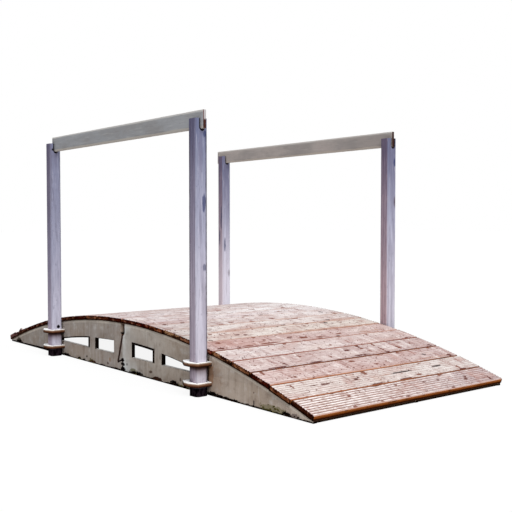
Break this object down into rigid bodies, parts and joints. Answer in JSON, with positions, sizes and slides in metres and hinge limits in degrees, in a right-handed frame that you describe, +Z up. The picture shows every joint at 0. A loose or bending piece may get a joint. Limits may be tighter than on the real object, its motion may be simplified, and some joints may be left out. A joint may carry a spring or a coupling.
{
  "type": "horse obstacle bridge",
  "caption": "Low arched timber bridge for horses, in two halves that hook together at the crown, with grooved boards, plywood sides with hand holes, and loose posts carrying side rails.",
  "frame": {"origin": "on the floor under the crown joint, midway between the side panels", "axes": "+X along the bridge, +Y across it, +Z up"},
  "size_m": [3.2488, 1.57, 1.4135],
  "materials": {
    "larch_decking": "weathered grooved softwood",
    "film_plywood": "matt weathered film-faced plywood",
    "collar_plywood": "matt weathered plywood",
    "rail_plywood": "matt weathered plywood",
    "post_timber": "weathered planed softwood",
    "batten_timber": "sawn softwood"
  },
  "bodies": {
    "root": {"board_a01": "larch_decking", "board_a02": "larch_decking", "board_a03": "larch_decking", "board_a04": "larch_decking", "board_a05": "larch_decking", "board_a06": "larch_decking", "board_a07": "larch_decking", "board_a08": "larch_decking", "board_a09": "larch_decking", "board_a10": "larch_decking", "board_a11": "larch_decking", "board_b01": "larch_decking", "board_b02": "larch_decking", "board_b03": "larch_decking", "board_b04": "larch_decking", "board_b05": "larch_decking", "board_b06": "larch_decking", "board_b07": "larch_decking", "board_b08": "larch_decking", "board_b09": "larch_decking", "board_b10": "larch_decking", "board_b11": "larch_decking", "panel_a_near": "film_plywood", "panel_a_middle": "film_plywood", "panel_a_far": "film_plywood", "battens_a": "batten_timber", "post_a_near": "post_timber", "collars_a_near": "collar_plywood", "post_a_far": "post_timber", "collars_a_far": "collar_plywood", "panel_b_near": "film_plywood", "panel_b_middle": "film_plywood", "panel_b_far": "film_plywood", "battens_b": "batten_timber", "post_b_near": "post_timber", "collars_b_near": "collar_plywood", "post_b_far": "post_timber", "collars_b_far": "collar_plywood", "rail_near": "rail_plywood", "rail_far": "rail_plywood"}
  },
  "joints": []
}
